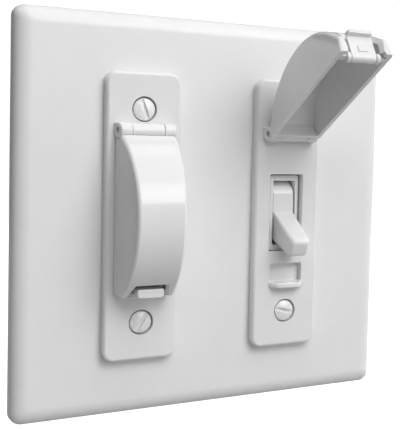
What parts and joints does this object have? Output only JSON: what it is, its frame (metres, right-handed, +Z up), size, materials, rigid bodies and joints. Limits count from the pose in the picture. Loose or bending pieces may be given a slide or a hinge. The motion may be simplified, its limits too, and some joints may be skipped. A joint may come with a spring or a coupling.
{
  "type": "guarded toggle wall switch",
  "caption": "White toggle wall switches behind a wall plate, each under a hinged, latching flip-up guard that stops the lever being moved by accident.",
  "frame": {"origin": "centre of the wall plate's back plane, where it meets the wall", "axes": "+X to the right as one faces the plate, +Y into the wall (the user stands on the -Y side), +Z up"},
  "size_m": [0.1158, 0.0769, 0.1142],
  "materials": {
    "plate": "satin moulded",
    "guard": "satin moulded",
    "toggle": "gloss moulded",
    "housing": "matte moulded",
    "white_screw": "painted steel",
    "pin_steel": "drawn wire",
    "strap_steel": "zinc plated",
    "contact_brass": "stamped",
    "screw_brass": "turned",
    "ground_green": "green dyed plating",
    "screw_zinc": "zinc plated"
  },
  "bodies": {
    "plate_and_switches": {"wall_plate": "plate", "left_guard_base": "guard", "left_hinge_pin": "pin_steel", "left_upper_plate_screw": "white_screw", "left_lower_plate_screw": "white_screw", "left_strap": "strap_steel", "left_switch_front": "toggle", "left_switch_base": "housing", "left_line_terminal": "contact_brass", "left_load_terminal": "contact_brass", "left_line_screw": "screw_brass", "left_load_screw": "screw_brass", "left_ground_screw": "ground_green", "left_upper_device_screw": "screw_zinc", "left_lower_device_screw": "screw_zinc", "right_guard_base": "guard", "right_hinge_pin": "pin_steel", "right_upper_plate_screw": "white_screw", "right_lower_plate_screw": "white_screw", "right_strap": "strap_steel", "right_switch_front": "toggle", "right_switch_base": "housing", "right_line_terminal": "contact_brass", "right_load_terminal": "contact_brass", "right_line_screw": "screw_brass", "right_load_screw": "screw_brass", "right_ground_screw": "ground_green", "right_upper_device_screw": "screw_zinc", "right_lower_device_screw": "screw_zinc"},
    "left_cover": {"left_guard_cover": "guard", "left_latch_pin": "pin_steel"},
    "left_cover_latch": {"left_latch": "guard"},
    "left_lever": {"left_toggle": "toggle", "left_detent_spring": "pin_steel"},
    "left_arm": {"left_contact_arm": "contact_brass"},
    "right_cover": {"right_guard_cover": "guard", "right_latch_pin": "pin_steel"},
    "right_cover_latch": {"right_latch": "guard"},
    "right_lever": {"right_toggle": "toggle", "right_detent_spring": "pin_steel"},
    "right_arm": {"right_contact_arm": "contact_brass"}
  },
  "joints": [
    {"name": "left_cover_hinge", "type": "hinge", "parent": "plate_and_switches", "child": "left_cover", "pos_m": [-0.02302, -0.0107, 0.02415], "axis": [-1, 0, 0], "range_deg": [0, 130]},
    {"name": "left_latch_pivot", "type": "hinge", "parent": "left_cover", "child": "left_cover_latch", "pos_m": [-0.02302, -0.0092, -0.01915], "axis": [-1, 0, 0], "range_deg": [0, 6], "stiffness_Nm_per_rad": 0.05},
    {"name": "left_toggle_pivot", "type": "hinge", "parent": "plate_and_switches", "child": "left_lever", "pos_m": [-0.02302, 0.003, 0], "axis": [-1, 0, 0], "range_deg": [-52.6, 0]},
    {"name": "left_arm_rock", "type": "hinge", "parent": "plate_and_switches", "child": "left_arm", "pos_m": [-0.02302, 0.016, 0], "axis": [-1, 0, 0], "range_deg": [0, 15.8]},
    {"name": "right_cover_hinge", "type": "hinge", "parent": "plate_and_switches", "child": "right_cover", "pos_m": [0.02302, -0.0107, 0.02415], "axis": [-1, 0, 0], "range_deg": [-121, 9]},
    {"name": "right_latch_pivot", "type": "hinge", "parent": "right_cover", "child": "right_cover_latch", "pos_m": [0.02302, -0.04859, 0.04516], "axis": [-1, 0, 0], "range_deg": [0, 6], "stiffness_Nm_per_rad": 0.05},
    {"name": "right_toggle_pivot", "type": "hinge", "parent": "plate_and_switches", "child": "right_lever", "pos_m": [0.02302, 0.003, 0], "axis": [-1, 0, 0], "range_deg": [0, 52.6]},
    {"name": "right_arm_rock", "type": "hinge", "parent": "plate_and_switches", "child": "right_arm", "pos_m": [0.02302, 0.016, 0], "axis": [-1, 0, 0], "range_deg": [-15.8, 0]}
  ],
  "couplings": [
    {"joint": "left_arm_rock", "follows": "left_toggle_pivot", "ratio": -0.3},
    {"joint": "right_arm_rock", "follows": "right_toggle_pivot", "ratio": -0.3}
  ]
}
